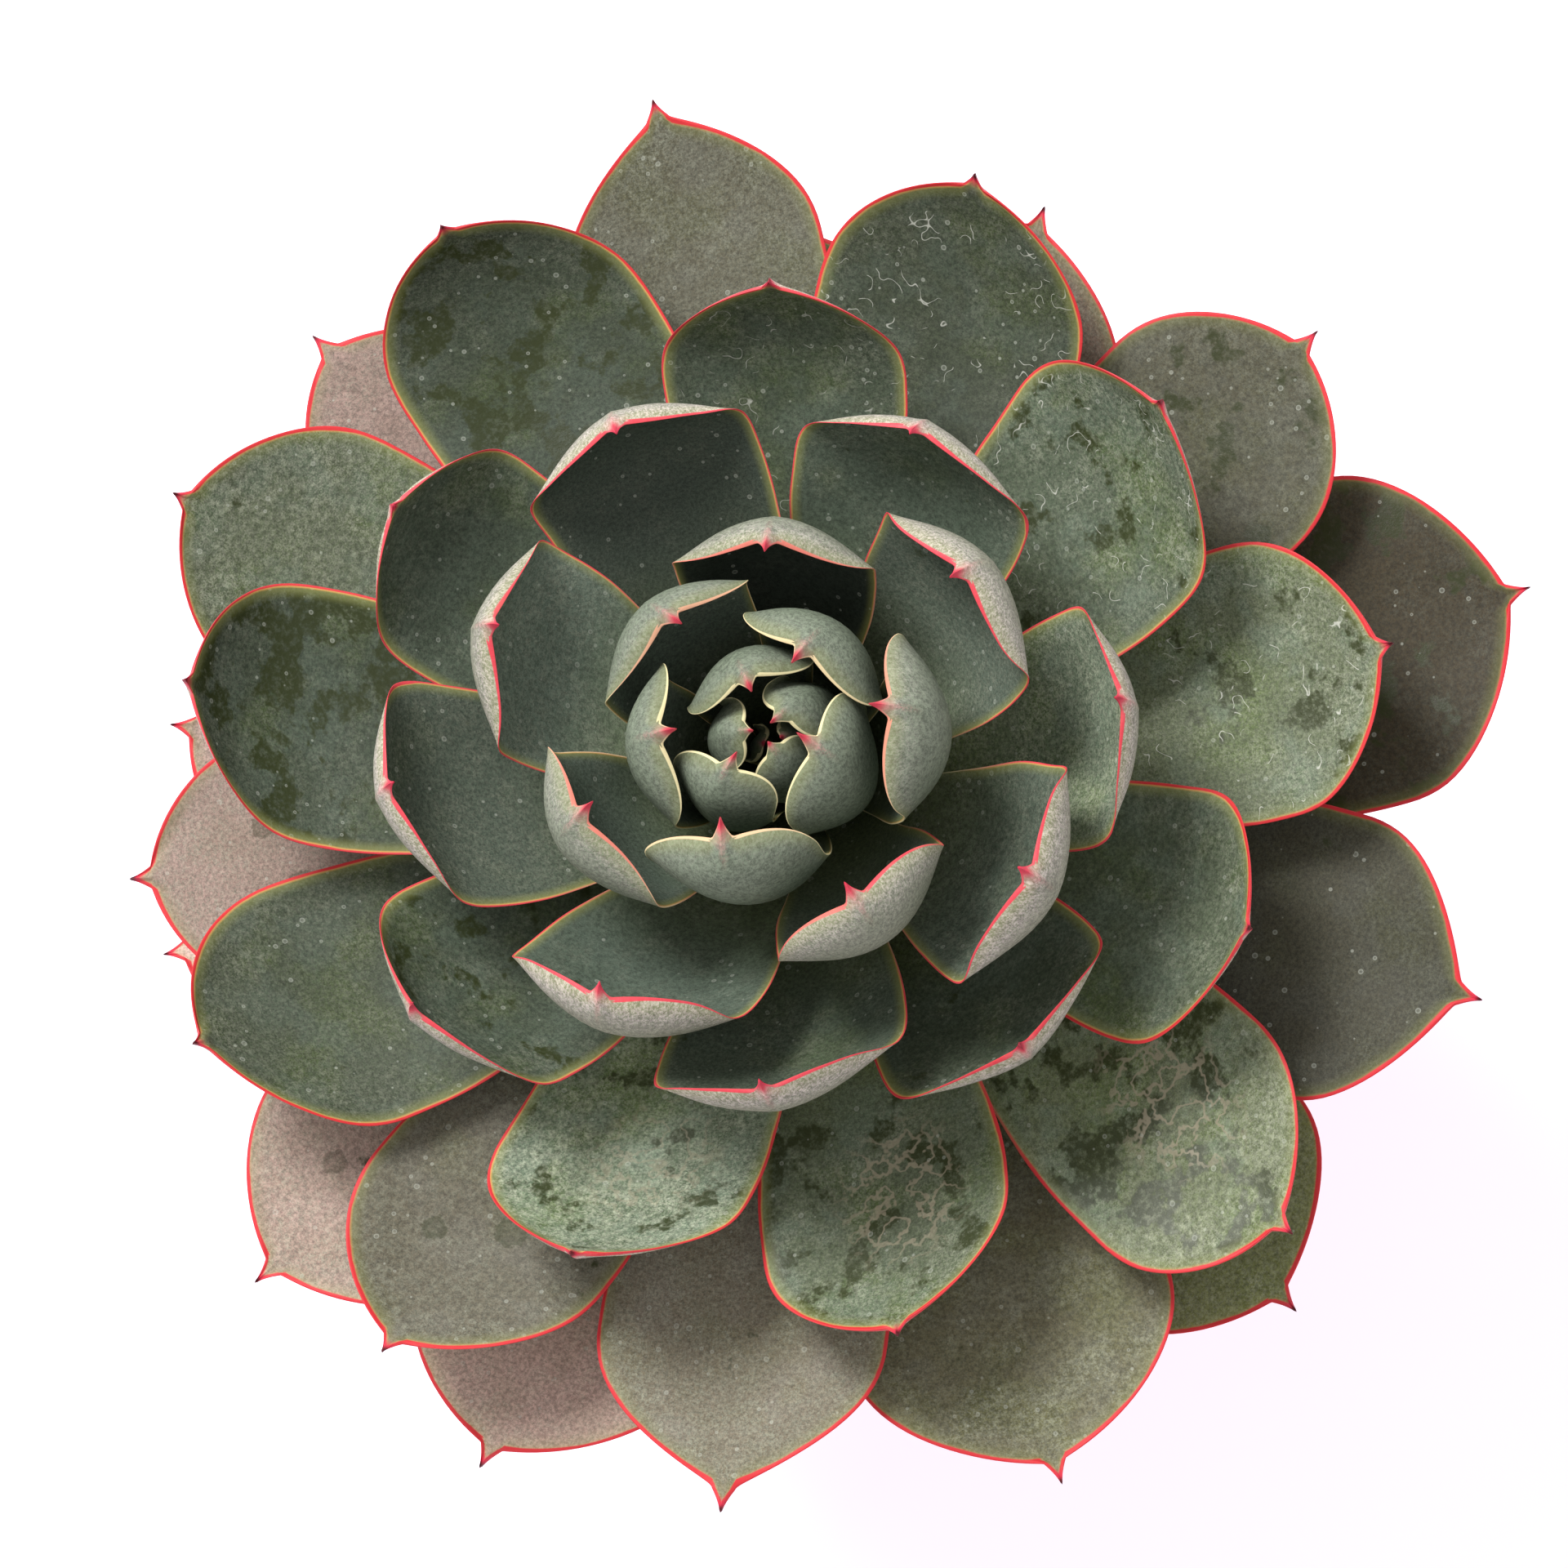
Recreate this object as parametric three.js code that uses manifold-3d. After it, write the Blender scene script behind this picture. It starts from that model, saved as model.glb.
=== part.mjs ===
// A rosette succulent in a plain round pot. Millimetres, +Z up.
// The origin is the middle of the pot's underside. +X and +Y are right and away in a view from above.

import * as THREE from "three";
import { mergeVertices } from "three/addons/utils/BufferGeometryUtils.js";
import Module from "manifold-3d";

const wasm = await Module();
wasm.setup();
const radians = THREE.MathUtils.degToRad;

// Driving dimensions of the pot
const potHeight = 76;
const rimRadius = 48;
const rimHeight = 14;
const rimStep = 2.4;
const rimThickness = 5;
const footRadius = 33;
const wall = 4;
const floorThickness = 6;
const floorCorner = 3;
const rimDraft = 0.6;
const edgeBevel = 1;
const rimFoldBevel = 0.8;
const lipBevel = 1.5;
const potSides = 64;

// Driving dimensions of the soil
const soilLevel = 69;
const soilGap = 0.3;
const soilRelief = 0.8;
const broadSwell = 5;
const fineSwell = 2.2;
const swellStartX = 0.7;
const swellStartY = -0.4;
const soilRings = [0.12, 0.32, 0.52, 0.72, 0.88, 1];
const soilSides = 32;

// Driving dimensions of the stem. It leans a little from the soil up, and the rosette leans with it.
const stemFoot = 40;
const stemTop = 113;
const stemRadius = 6.6;
const stemTopRadius = 1.3;
const stemTaperPower = 1.3;
const stemFootShare = 0.8;
const stemSteps = 7;
const stemSides = 16;
const stemHoleTop = soilLevel + 4;
const seatGap = 0.35;
const leafFootStart = 1;
const leanAngle = radians(4);
const leanTowards = radians(184);

// The leaves stand on a spiral: each one is turned this far back from the one inside it.
const spiralStep = 137.6;
const spiralStart = 295;

// One row a leaf, from the heart outwards: turn off the spiral in degrees, reach of the tip from the axis,
// breadth, how far the tip leans sideways, and the twist of the blade in degrees.
const leafRows = [
  [11, 0.6, 10, 0, 6],
  [15, 0.9, 10, -0.2, 10],
  [22, 1.3, 11, 0, 10],
  [-10, 3, 15, -0.1, 16],
  [7, 3.7, 18, -0.9, 0],
  [3, 3.8, 19, 1.6, 5],
  [-5, 8.1, 21, -0.8, 2],
  [7, 7.4, 21, 0.2, -6],
  [-11, 9.4, 22, -2.3, 11],
  [1, 13.1, 23.5, -3.1, -10],
  [0, 11.3, 22.5, 2.4, 0],
  [-11, 18.1, 24, -2.7, 5],
  [5, 18.6, 25, -0.2, -4],
  [-7, 17.8, 24, 0, 6],
  [-9, 30, 26.5, -1.9, 11],
  [6, 24.8, 27, 1, 2],
  [-12, 29.8, 28, -2.7, 14],
  [-1, 36.2, 28, 0.5, -2],
  [-8, 29.2, 27.5, 0.8, 4],
  [-15, 39.4, 27.5, -0.5, 14],
  [1, 35.1, 29, 1, 2],
  [-14, 34.5, 28.5, -2, 9],
  [0, 48.9, 27, -1.5, 0],
  [-7, 35.2, 27, 2.5, 4],
  [-18, 46, 29, -1, 7],
  [-3, 50.7, 28, -0.5, -5],
  [-9, 39.1, 28.5, 0, -2],
  [-8, 65.7, 30, -1.5, 9],
  [-2, 54, 31, 3, -4],
  [-21, 55.6, 29, 2, 16],
  [-4, 72, 31, -1, -8],
  [-14, 50.6, 29, 3.5, 7],
  [-8, 70.5, 31, -1.5, 10],
  [-1, 67.5, 31.5, 0.5, -5],
  [-17, 59.9, 28.5, 0, 10],
  [-4, 77.5, 32, -1.5, 0],
  [-8, 63.5, 31, -2, 0],
  [-13, 75, 30, 2, 9],
  [-2, 79, 30, -2, 3],
  [-13, 70, 29.5, 0.5, 11],
  [-6, 76, 30, 0.5, 1],
  [-12, 73, 31, 0.5, 1],
  [-16, 77, 32, 3, 7],
  [-2, 78.5, 27, 0.5, -4],
  [-20, 74, 32, 1, 1],
  [-5, 80.5, 33, 1.5, 5],
  [-17, 70, 30, 1.5, -9],
  [-18, 77.5, 36, -1.5, -5],
  [0, 75, 29, 1, -8],
  [-17, 79, 37, 0.5, 0],
  [-13, 80.5, 34, -1, 5],
  [-24, 68, 26, -0.5, -5],
  [-28, 74, 33, 0, 4],
  [-12, 77, 29, -0.5, -8],
];

// How the leaves change from the heart (place 0) to the lowest one (place 53). Each pair is a place and
// its value, and the values between are in proportion.
const footHeight = [[0, 112], [10, 105.5], [20, 100], [30, 94.5], [40, 89], [53, 81]];
const tipHeight = [
  [0, 131], [3, 135], [8, 136], [12, 134], [16, 131], [20, 127.5],
  [25, 121], [30, 113.5], [35, 107], [40, 100], [45, 94], [53, 85.5],
];
const footRise = [
  [0, 52], [5, 44], [10, 38], [15, 36], [20, 34], [25, 31],
  [30, 27], [35, 22], [40, 17], [45, 12], [53, 6],
];
const tipRise = [
  [0, 150], [5, 148], [10, 143], [15, 122], [20, 98], [25, 80],
  [30, 60], [34, 42], [37, 30], [40, 20], [45, 8], [53, 0],
];
const cupAngle = [
  [0, 75], [5, 66], [10, 58], [15, 50], [20, 42],
  [25, 34], [30, 27], [35, 22], [40, 16], [53, 10],
];
const thickness = [[0, 1.6], [5, 2.4], [10, 3.2], [20, 3.8], [30, 3.7], [40, 3.3], [53, 3]];
const marginThickness = [[0, 0.7], [10, 0.9], [30, 1.1], [53, 1]];
const toothLength = [[0, 1.3], [4, 2.4], [12, 2.3], [20, 1.8], [30, 1.6], [36, 1.9], [42, 2.6], [53, 2.6]];
const clawDepth = [
  [0, 0.5], [3, 1.4], [4, 0.5], [5, 1.2], [6, 1.4], [7, 1.1], [8, 2.2], [9, 1.1], [10, 2.2],
  [11, 1.7], [12, 0.7], [13, 2.2], [14, 0.8], [15, 1.7], [18, 2], [21, 1.9], [22, 0.9], [23, 1.9],
  [24, 1.8], [25, 0.8], [26, 1.8], [27, 1], [28, 0.9], [29, 1.5], [31, 1.2], [35, 0.4], [38, 0],
];
const shoulderPower = [
  [0, 0.5], [4, 0.4], [15, 0.42], [25, 0.53], [36, 0.62], [37, 0.66], [38, 0.85], [39, 0.6],
  [41, 0.62], [42, 0.95], [43, 0.7], [44, 0.85], [45, 0.7], [53, 0.7],
];

// The leaf's outline along its length. The tooth's sizes are its half widths at its foot and at its point.
const widestPlace = 0.75;
const footBreadth = 0.21;
const footPower = 1.7;
const toothFootWidth = 1.25;
const toothPointWidth = 0.3;
const toothPower = 1.5;
const handleLength = 0.36;
const clawRun = 7;

// How the blade's cup and thickness change along the leaf, as shares of their largest value
const cupAtFoot = 0.35;
const cupTurn = 0.74;
const cupPower = 0.9;
const footThickness = 0.5;
const thinFrom = 0.91;
const tipThinning = 0.45;
const keelShare = 0.7;

// Where the leaf's rings lie, as shares of the way to the tooth and then along it, and its points across
const bladeRings = [0, 0.13, 0.28, 0.44, 0.58, 0.7, 0.8, 0.88, 0.94, 0.98, 1];
const toothRings = [0.5, 1];
const acrossPlaces = [-1, -0.55, 0, 0.55, 1];

// The last small leaves in the heart, grown together at their feet
const heartRows = [
  [35, 1.1, 5, 127],
  [160, 0.9, 4.6, 126],
  [275, 0.9, 4.2, 125],
];
const heartFoot = 113.6;
const heartFootRadius = 1.5;
const heartFootLowRadius = 1.1;
const heartFootHeight = 5;
const heartFootSides = 8;
const heartLeaf = {
  side: 0,
  twist: 0,
  foot: heartFoot + 1,
  footOut: 0.5,
  rise: radians(60),
  tipLean: radians(125),
  cup: radians(60),
  thick: 1.1,
  margin: 0.6,
  tooth: 1,
  claw: 0,
  shoulder: 0.6,
  seated: false,
};

const leafGreen = new THREE.Color(0x56685a);
const heartGreen = new THREE.Color(0x7d8f80);
const lowLeafGreen = new THREE.Color(0x6b6f5f);

// The value at a place in one of the lists above
function along(list, place) {
  for (let i = 1; i < list.length; i++) {
    const [from, low] = list[i - 1];
    const [to, high] = list[i];
    if (place <= to) return low + ((high - low) * (place - from)) / (to - from);
  }
  return list[list.length - 1][1];
}

// Half the breadth at a place along the leaf: a narrow foot, full round shoulders, then a small pointed
// tooth with hollow flanks.
function halfBreadth(s, leaf, toothFoot) {
  if (s < widestPlace) {
    const widening = Math.sin((Math.PI / 2) * (s / widestPlace)) ** footPower;
    return (leaf.breadth / 2) * (footBreadth + (1 - footBreadth) * widening);
  }
  const t = Math.min(1, (s - widestPlace) / (toothFoot - widestPlace));
  const shoulder = (leaf.breadth / 2) * (1 - t * t) ** leaf.shoulder;
  const narrowing = Math.min(1, (1 - s) / (1 - toothFoot)) ** toothPower;
  return Math.hypot(shoulder, toothPointWidth + (toothFootWidth - toothPointWidth) * narrowing);
}

// The stem's radius at a height
function stemRadiusAt(z) {
  const t = THREE.MathUtils.clamp((z - soilLevel) / (stemTop - soilLevel), 0, 1);
  return stemRadius + (stemTopRadius - stemRadius) * t ** stemTaperPower;
}

// A closed geometry from rows of points: each row runs across the upper face and back along the lower one.
// The ends are closed by strips between the two faces.
function shellGeometry(rows, across) {
  const points = rows.flat();
  const perRow = 2 * across;
  const faces = [];
  const quad = (a, b, c, d) => faces.push(a, c, b, a, d, c);
  for (let i = 0; i < rows.length - 1; i++) {
    for (let j = 0; j < perRow; j++) {
      const next = (j + 1) % perRow;
      quad(i * perRow + j, i * perRow + next, (i + 1) * perRow + next, (i + 1) * perRow + j);
    }
  }
  const last = (rows.length - 1) * perRow;
  for (let j = 0; j < across - 1; j++) {
    const under = perRow - 1 - j;
    quad(j, under, under - 1, j + 1);
    quad(last + j, last + j + 1, last + under - 1, last + under);
  }
  const geometry = new THREE.BufferGeometry().setFromPoints(points);
  geometry.setIndex(faces);
  return geometry;
}

// One leaf. The middle line is a curve in the upright plane through the axis, the blade is bent round it
// into a cup, flat above and keeled below, and its end hooks inwards like a claw.
function leafGeometry(leaf) {
  const { turn, reach, side, twist, foot, footOut, top, rise, tipLean } = leaf;
  const { cup, thick, margin, tooth, claw } = leaf;
  const start = new THREE.Vector2(footOut, foot);
  const end = new THREE.Vector2(reach + claw * Math.sin(tipLean), top - claw * Math.cos(tipLean));
  const handle = handleLength * start.distanceTo(end);
  const endHandle = handle + tooth;
  const curve = new THREE.CubicBezierCurve(
    start,
    new THREE.Vector2(start.x + handle * Math.cos(rise), start.y + handle * Math.sin(rise)),
    new THREE.Vector2(end.x - endHandle * Math.cos(tipLean), end.y - endHandle * Math.sin(tipLean)),
    end,
  );
  const length = curve.getLength();
  const toothFoot = 1 - tooth / length;
  const ringPlaces = [
    ...bladeRings.map((share) => share * toothFoot),
    ...toothRings.map((share) => toothFoot + (1 - toothFoot) * share),
  ];
  const rows = ringPlaces.map((s) => {
    const middle = curve.getPointAt(s);
    const tangent = curve.getTangentAt(s);
    const half = halfBreadth(s, leaf, toothFoot);
    const bend = cup * (cupAtFoot + (1 - cupAtFoot) * Math.sin(cupTurn * Math.PI * s ** cupPower));
    const swing = twist * s;
    const fullness = footThickness + (1 - footThickness) * Math.sin(Math.PI * Math.min(1, s / thinFrom));
    const deep = thick * fullness * (1 - tipThinning * s ** 4);
    const hook = claw * Math.max(0, 1 - ((1 - s) * length) / clawRun) ** 2;
    const pointAt = (v, upper) => {
      const body = Math.max(0, deep - margin) * (1 - v * v);
      const face = upper ? margin / 2 + (1 - keelShare) * body : -margin / 2 - keelShare * body;
      const lift = (half / bend) * (1 - Math.cos(bend * v)) + face + hook;
      const sideways = (half / bend) * Math.sin(bend * v);
      const out = middle.x - tangent.y * lift * Math.cos(swing) - sideways * Math.sin(swing);
      const over = -tangent.y * lift * Math.sin(swing) + sideways * Math.cos(swing) + side * s * s;
      const point = new THREE.Vector3(out, over, middle.y + tangent.x * lift);
      if (s === 0 && leaf.seated) seatOnStem(point);
      return point.applyAxisAngle(new THREE.Vector3(0, 0, 1), turn);
    };
    return [
      ...acrossPlaces.map((v) => pointAt(v, true)),
      ...acrossPlaces.map((v) => pointAt(-v, false)),
    ];
  });
  return shellGeometry(rows, acrossPlaces.length);
}

// A point of a leaf's foot, moved level to just clear of the stem
function seatOnStem(point) {
  const radius = Math.hypot(point.x, point.y);
  const scale = (stemRadiusAt(point.z) + seatGap) / radius;
  point.x *= scale;
  point.y *= scale;
}

// The leaf at a place on the spiral, with every size worked out from its row and the lists
function leafAt(place) {
  const [off, reach, breadth, side, twist] = leafRows[place];
  const foot = along(footHeight, place);
  return {
    turn: radians(spiralStart - spiralStep * place + off),
    reach,
    breadth,
    side,
    twist: radians(twist),
    foot,
    footOut: stemRadiusAt(foot) + leafFootStart,
    top: along(tipHeight, place),
    rise: radians(along(footRise, place)),
    tipLean: radians(along(tipRise, place)),
    cup: radians(along(cupAngle, place)),
    thick: along(thickness, place),
    margin: along(marginThickness, place),
    tooth: along(toothLength, place),
    claw: along(clawDepth, place),
    shoulder: along(shoulderPower, place),
    seated: true,
  };
}

// A closed geometry as a solid that can be joined and cut, and back again
function toSolid(geometry) {
  const bare = geometry.clone();
  bare.deleteAttribute("normal");
  bare.deleteAttribute("uv");
  const merged = mergeVertices(bare, 1e-4);
  return new wasm.Manifold(
    new wasm.Mesh({
      numProp: 3,
      vertProperties: new Float32Array(merged.attributes.position.array),
      triVerts: new Uint32Array(merged.index.array),
    }),
  );
}

function toGeometry(solid) {
  const mesh = solid.getMesh();
  const geometry = new THREE.BufferGeometry();
  geometry.setAttribute("position", new THREE.BufferAttribute(new Float32Array(mesh.vertProperties), 3));
  geometry.setIndex(new THREE.BufferAttribute(new Uint32Array(mesh.triVerts), 1));
  return geometry;
}

// The lean of the plant, about the point where the stem leaves the soil
const leanAxis = new THREE.Vector3(-Math.sin(leanTowards), Math.cos(leanTowards), 0);

function leaned(geometry) {
  return geometry
    .clone()
    .translate(0, 0, -soilLevel)
    .applyMatrix4(new THREE.Matrix4().makeRotationAxis(leanAxis, leanAngle))
    .translate(0, 0, soilLevel);
}

// The stem, or with extra the space it stands in
function stemGeometry(extra, top) {
  const profile = [new THREE.Vector2(0, stemFoot - extra)];
  profile.push(new THREE.Vector2(stemRadius * stemFootShare + extra, stemFoot - extra));
  profile.push(new THREE.Vector2(stemRadius + extra, stemFoot + stemRadius / 2));
  for (let i = 0; i <= stemSteps; i++) {
    const z = soilLevel + ((top - soilLevel) * i) / stemSteps;
    profile.push(new THREE.Vector2(stemRadiusAt(z) + extra, z));
  }
  profile.push(new THREE.Vector2(0, top));
  return new THREE.LatheGeometry(profile, stemSides).rotateX(Math.PI / 2);
}

// The pot's outer and inner radius at a height below the rim
const underRim = potHeight - rimHeight;
const bodyTopRadius = rimRadius - rimStep;

function potInside(z) {
  if (z >= underRim) return rimRadius - rimThickness - rimDraft * (1 - (z - underRim) / rimHeight);
  const t = (z - floorThickness) / (underRim - floorThickness);
  const low = footRadius + ((bodyTopRadius - footRadius) * floorThickness) / underRim - wall;
  return low + (potInside(underRim) - low) * t;
}

function potGeometry() {
  const profile = [
    [0, 0],
    [footRadius - edgeBevel, 0],
    [footRadius, edgeBevel],
    [bodyTopRadius, underRim],
    [rimRadius - rimFoldBevel, underRim],
    [rimRadius, underRim + rimFoldBevel],
    [rimRadius, potHeight - lipBevel],
    [rimRadius - lipBevel / 3, potHeight - lipBevel / 3],
    [rimRadius - lipBevel, potHeight],
    [rimRadius - rimThickness + edgeBevel, potHeight],
    [potInside(potHeight - edgeBevel), potHeight - edgeBevel],
    [potInside(underRim), underRim],
    [potInside(floorThickness + floorCorner), floorThickness + floorCorner],
    [potInside(floorThickness) - floorCorner, floorThickness],
    [0, floorThickness],
  ];
  const points = profile.map(([r, z]) => new THREE.Vector2(r, z));
  return new THREE.LatheGeometry(points, potSides).rotateX(Math.PI / 2);
}

// The soil fills the pot to just under the rim. Its top is raised and lowered by a formula.
function soilHeight(x, y) {
  const broad = Math.sin(x / broadSwell + swellStartX) * Math.cos(y / broadSwell + swellStartY);
  const fine = Math.sin((x - y) / fineSwell);
  return soilLevel + (soilRelief * (2 * broad + fine)) / 3;
}

function soilGeometry() {
  const bottom = floorThickness + soilGap;
  const corner = floorThickness + floorCorner;
  const edge = potInside(soilLevel + soilRelief) - 2 * soilGap;
  const points = [new THREE.Vector3(0, 0, soilHeight(0, 0))];
  const faces = [];
  const ring = (radius, height) => {
    for (let i = 0; i < soilSides; i++) {
      const angle = (2 * Math.PI * i) / soilSides;
      const x = radius * Math.cos(angle);
      const y = radius * Math.sin(angle);
      points.push(new THREE.Vector3(x, y, height(x, y)));
    }
  };
  soilRings.forEach((share) => ring(edge * share, soilHeight));
  ring(potInside(underRim) - 2 * soilGap, () => underRim);
  ring(potInside(corner) - 2 * soilGap, () => corner + soilGap);
  ring(potInside(floorThickness) - floorCorner - 2 * soilGap, () => bottom);
  points.push(new THREE.Vector3(0, 0, bottom));
  const ringCount = soilRings.length + 3;
  const at = (k, i) => 1 + k * soilSides + (i % soilSides);
  for (let i = 0; i < soilSides; i++) {
    faces.push(0, at(0, i), at(0, i + 1));
    for (let k = 0; k < ringCount - 1; k++) {
      faces.push(at(k, i), at(k + 1, i), at(k + 1, i + 1));
      faces.push(at(k, i), at(k + 1, i + 1), at(k, i + 1));
    }
    faces.push(at(ringCount - 1, i), points.length - 1, at(ringCount - 1, i + 1));
  }
  const geometry = new THREE.BufferGeometry().setFromPoints(points);
  geometry.setIndex(faces);
  const hole = leaned(stemGeometry(soilGap, stemHoleTop));
  return toGeometry(toSolid(geometry).subtract(toSolid(hole)));
}

// The heart: a few tiny leaves on one small foot
function heartGeometry() {
  const foot = new THREE.LatheGeometry(
    [
      new THREE.Vector2(0, heartFoot),
      new THREE.Vector2(heartFootLowRadius, heartFoot),
      new THREE.Vector2(heartFootRadius, heartFoot + heartFootHeight / 2),
      new THREE.Vector2(0, heartFoot + heartFootHeight),
    ],
    heartFootSides,
  ).rotateX(Math.PI / 2);
  let solid = toSolid(foot);
  for (const [turn, reach, breadth, top] of heartRows) {
    const blade = leafGeometry({ ...heartLeaf, turn: radians(turn), reach, breadth, top });
    solid = solid.add(toSolid(blade));
  }
  return toGeometry(solid);
}

function namedMesh(name, geometry, material) {
  const mesh = new THREE.Mesh(geometry, new THREE.MeshStandardMaterial(material));
  mesh.name = name;
  return mesh;
}

// The rosette leans as one group, about the point where the stem leaves the soil
const plant = new THREE.Group();
plant.position.set(0, 0, soilLevel);
plant.setRotationFromAxisAngle(leanAxis, leanAngle);

const rosette = new THREE.Group();
rosette.position.set(0, 0, -soilLevel);
plant.add(rosette);

rosette.add(namedMesh("stem", stemGeometry(0, stemTop), { color: 0x8a8565, roughness: 0.8, metalness: 0 }));
rosette.add(namedMesh("heart", heartGeometry(), { color: 0x8c9c8a, roughness: 0.6, metalness: 0 }));

leafRows.forEach((row, place) => {
  const share = place / (leafRows.length - 1);
  const color = share < 0.5
    ? heartGreen.clone().lerp(leafGreen, share * 2)
    : leafGreen.clone().lerp(lowLeafGreen, share * 2 - 1);
  const name = "leaf_" + String(place + 1).padStart(2, "0");
  rosette.add(namedMesh(name, leafGeometry(leafAt(place)), { color, roughness: 0.55, metalness: 0 }));
});

const group = new THREE.Group();
group.add(namedMesh("pot", potGeometry(), { color: 0xb9684a, roughness: 0.9, metalness: 0 }));
group.add(namedMesh("soil", soilGeometry(), { color: 0x3a2c22, roughness: 1, metalness: 0 }));
group.add(plant);

export default group;
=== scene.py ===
import math

import bpy
import numpy as np
from mathutils import Matrix, Vector


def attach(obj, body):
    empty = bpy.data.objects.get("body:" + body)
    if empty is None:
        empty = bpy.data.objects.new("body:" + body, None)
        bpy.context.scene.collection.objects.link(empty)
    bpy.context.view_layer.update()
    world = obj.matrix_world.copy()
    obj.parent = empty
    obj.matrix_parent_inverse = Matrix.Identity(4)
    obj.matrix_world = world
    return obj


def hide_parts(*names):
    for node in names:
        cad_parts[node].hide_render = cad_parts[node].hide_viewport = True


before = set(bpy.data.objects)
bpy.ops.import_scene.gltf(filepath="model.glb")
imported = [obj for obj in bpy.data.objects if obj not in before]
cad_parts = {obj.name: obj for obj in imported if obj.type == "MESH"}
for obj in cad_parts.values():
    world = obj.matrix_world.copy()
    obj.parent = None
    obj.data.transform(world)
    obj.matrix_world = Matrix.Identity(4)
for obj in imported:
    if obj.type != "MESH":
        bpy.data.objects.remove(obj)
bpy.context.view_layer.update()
mm = 0.001
print("frame loaded:", len(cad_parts), "nodes")


# Helpers that build nodes

class Sock:
    # one output socket; Python's operators on it add Math nodes
    def __init__(self, tree, node, out=0):
        self.tree = tree
        self.node = node
        self.out = node.outputs[out] if node.outputs else None

    def other(self, out):
        return Sock(self.tree, self.node, out)

    def math(self, operation, *values):
        return self.tree.math(operation, self, *values)

    def __add__(self, value):
        return self.math("ADD", value)

    def __sub__(self, value):
        return self.math("SUBTRACT", value)

    def __mul__(self, value):
        return self.math("MULTIPLY", value)

    def __truediv__(self, value):
        return self.math("DIVIDE", value)

    def __pow__(self, value):
        return self.math("POWER", value)

    def __lt__(self, value):
        return self.math("LESS_THAN", value)

    def __gt__(self, value):
        return self.math("GREATER_THAN", value)

    def __rsub__(self, value):
        return self.tree.math("SUBTRACT", value, self)

    def __rtruediv__(self, value):
        return self.tree.math("DIVIDE", value, self)

    __radd__ = __add__
    __rmul__ = __mul__


class Tree:
    # adds nodes to a shader tree or a geometry tree
    def __init__(self, tree):
        self.tree = tree

    def node(self, kind, settings=None, values=None, out=0):
        made = self.tree.nodes.new(kind)
        for name, value in (settings or {}).items():
            setattr(made, name, value)
        for socket, value in (values or {}).items():
            if isinstance(value, Sock):
                self.tree.links.new(value.out, made.inputs[socket])
            else:
                made.inputs[socket].default_value = value
        return Sock(self, made, out)

    def math(self, operation, *values):
        return self.node("ShaderNodeMath", {"operation": operation}, dict(enumerate(values)))

    def sine(self, angle):
        return self.math("SINE", angle)

    def cosine(self, angle):
        return self.math("COSINE", angle)

    def vectorMath(self, operation, *values):
        return self.node("ShaderNodeVectorMath", {"operation": operation}, dict(enumerate(values)))

    def scaled(self, vector, factor):
        values = {"Vector": vector, "Scale": factor}
        return self.node("ShaderNodeVectorMath", {"operation": "SCALE"}, values)

    def join(self, x, y, z):
        return self.node("ShaderNodeCombineXYZ", values={"X": x, "Y": y, "Z": z})

    def split(self, vector):
        parts = self.node("ShaderNodeSeparateXYZ", values={"Vector": vector})
        return parts, parts.other("Y"), parts.other("Z")

    # 0 below low, 1 above high, and smooth between
    def ease(self, value, low, high):
        limits = {"Value": value, "From Min": low, "From Max": high}
        return self.node("ShaderNodeMapRange", {"interpolation_type": "SMOOTHSTEP"}, limits)

    # blends two colours, and settings can name another blend type
    def mix(self, factor, first, second, blend="MIX"):
        settings = {"data_type": "RGBA", "blend_type": blend}
        return self.node("ShaderNodeMix", settings, {0: factor, 6: first, 7: second}, out=2)

    def noise(self, vector, scale, detail=3, roughness=0.5, distortion=0):
        values = {"Vector": vector, "Scale": scale, "Detail": detail, "Roughness": roughness,
                  "Distortion": distortion}
        return self.node("ShaderNodeTexNoise", {"noise_dimensions": "3D"}, values)

    def attribute(self, name, out="Fac"):
        return self.node("ShaderNodeAttribute", {"attribute_name": name}, out=out)

    def link(self, sock, node, socket):
        self.tree.links.new(sock.out, node.inputs[socket])


# A colour given as it looks on a screen, 0 to 255
def paint(red, green, blue):
    def linear(value):
        share = value / 255
        return share / 12.92 if share <= 0.04045 else ((share + 0.055) / 1.055) ** 2.4
    return (linear(red), linear(green), linear(blue), 1)


# A material with one Principled shader: its node tree builder and the shader's node
def newMaterial(name, constants):
    material = bpy.data.materials.new(name)
    material.use_nodes = True
    tree = Tree(material.node_tree)
    shader = material.node_tree.nodes["Principled BSDF"]
    for socket, value in constants.items():
        shader.inputs[socket].default_value = value
    return material, tree, shader


# A geometry tree with named inputs, and the value of each as a socket
def newGeometryTree(name, floats, materials):
    tree = bpy.data.node_groups.new(name, "GeometryNodeTree")
    tree.interface.new_socket(name="Geometry", in_out="INPUT", socket_type="NodeSocketGeometry")
    for label in floats:
        tree.interface.new_socket(name=label, in_out="INPUT", socket_type="NodeSocketFloat")
    for label in materials:
        tree.interface.new_socket(name=label, in_out="INPUT", socket_type="NodeSocketMaterial")
    tree.interface.new_socket(name="Geometry", in_out="OUTPUT", socket_type="NodeSocketGeometry")
    build = Tree(tree)
    given = build.node("NodeGroupInput")
    sockets = {label: given.other(label) for label in ["Geometry", *floats, *materials]}
    return tree, build, sockets


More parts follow.
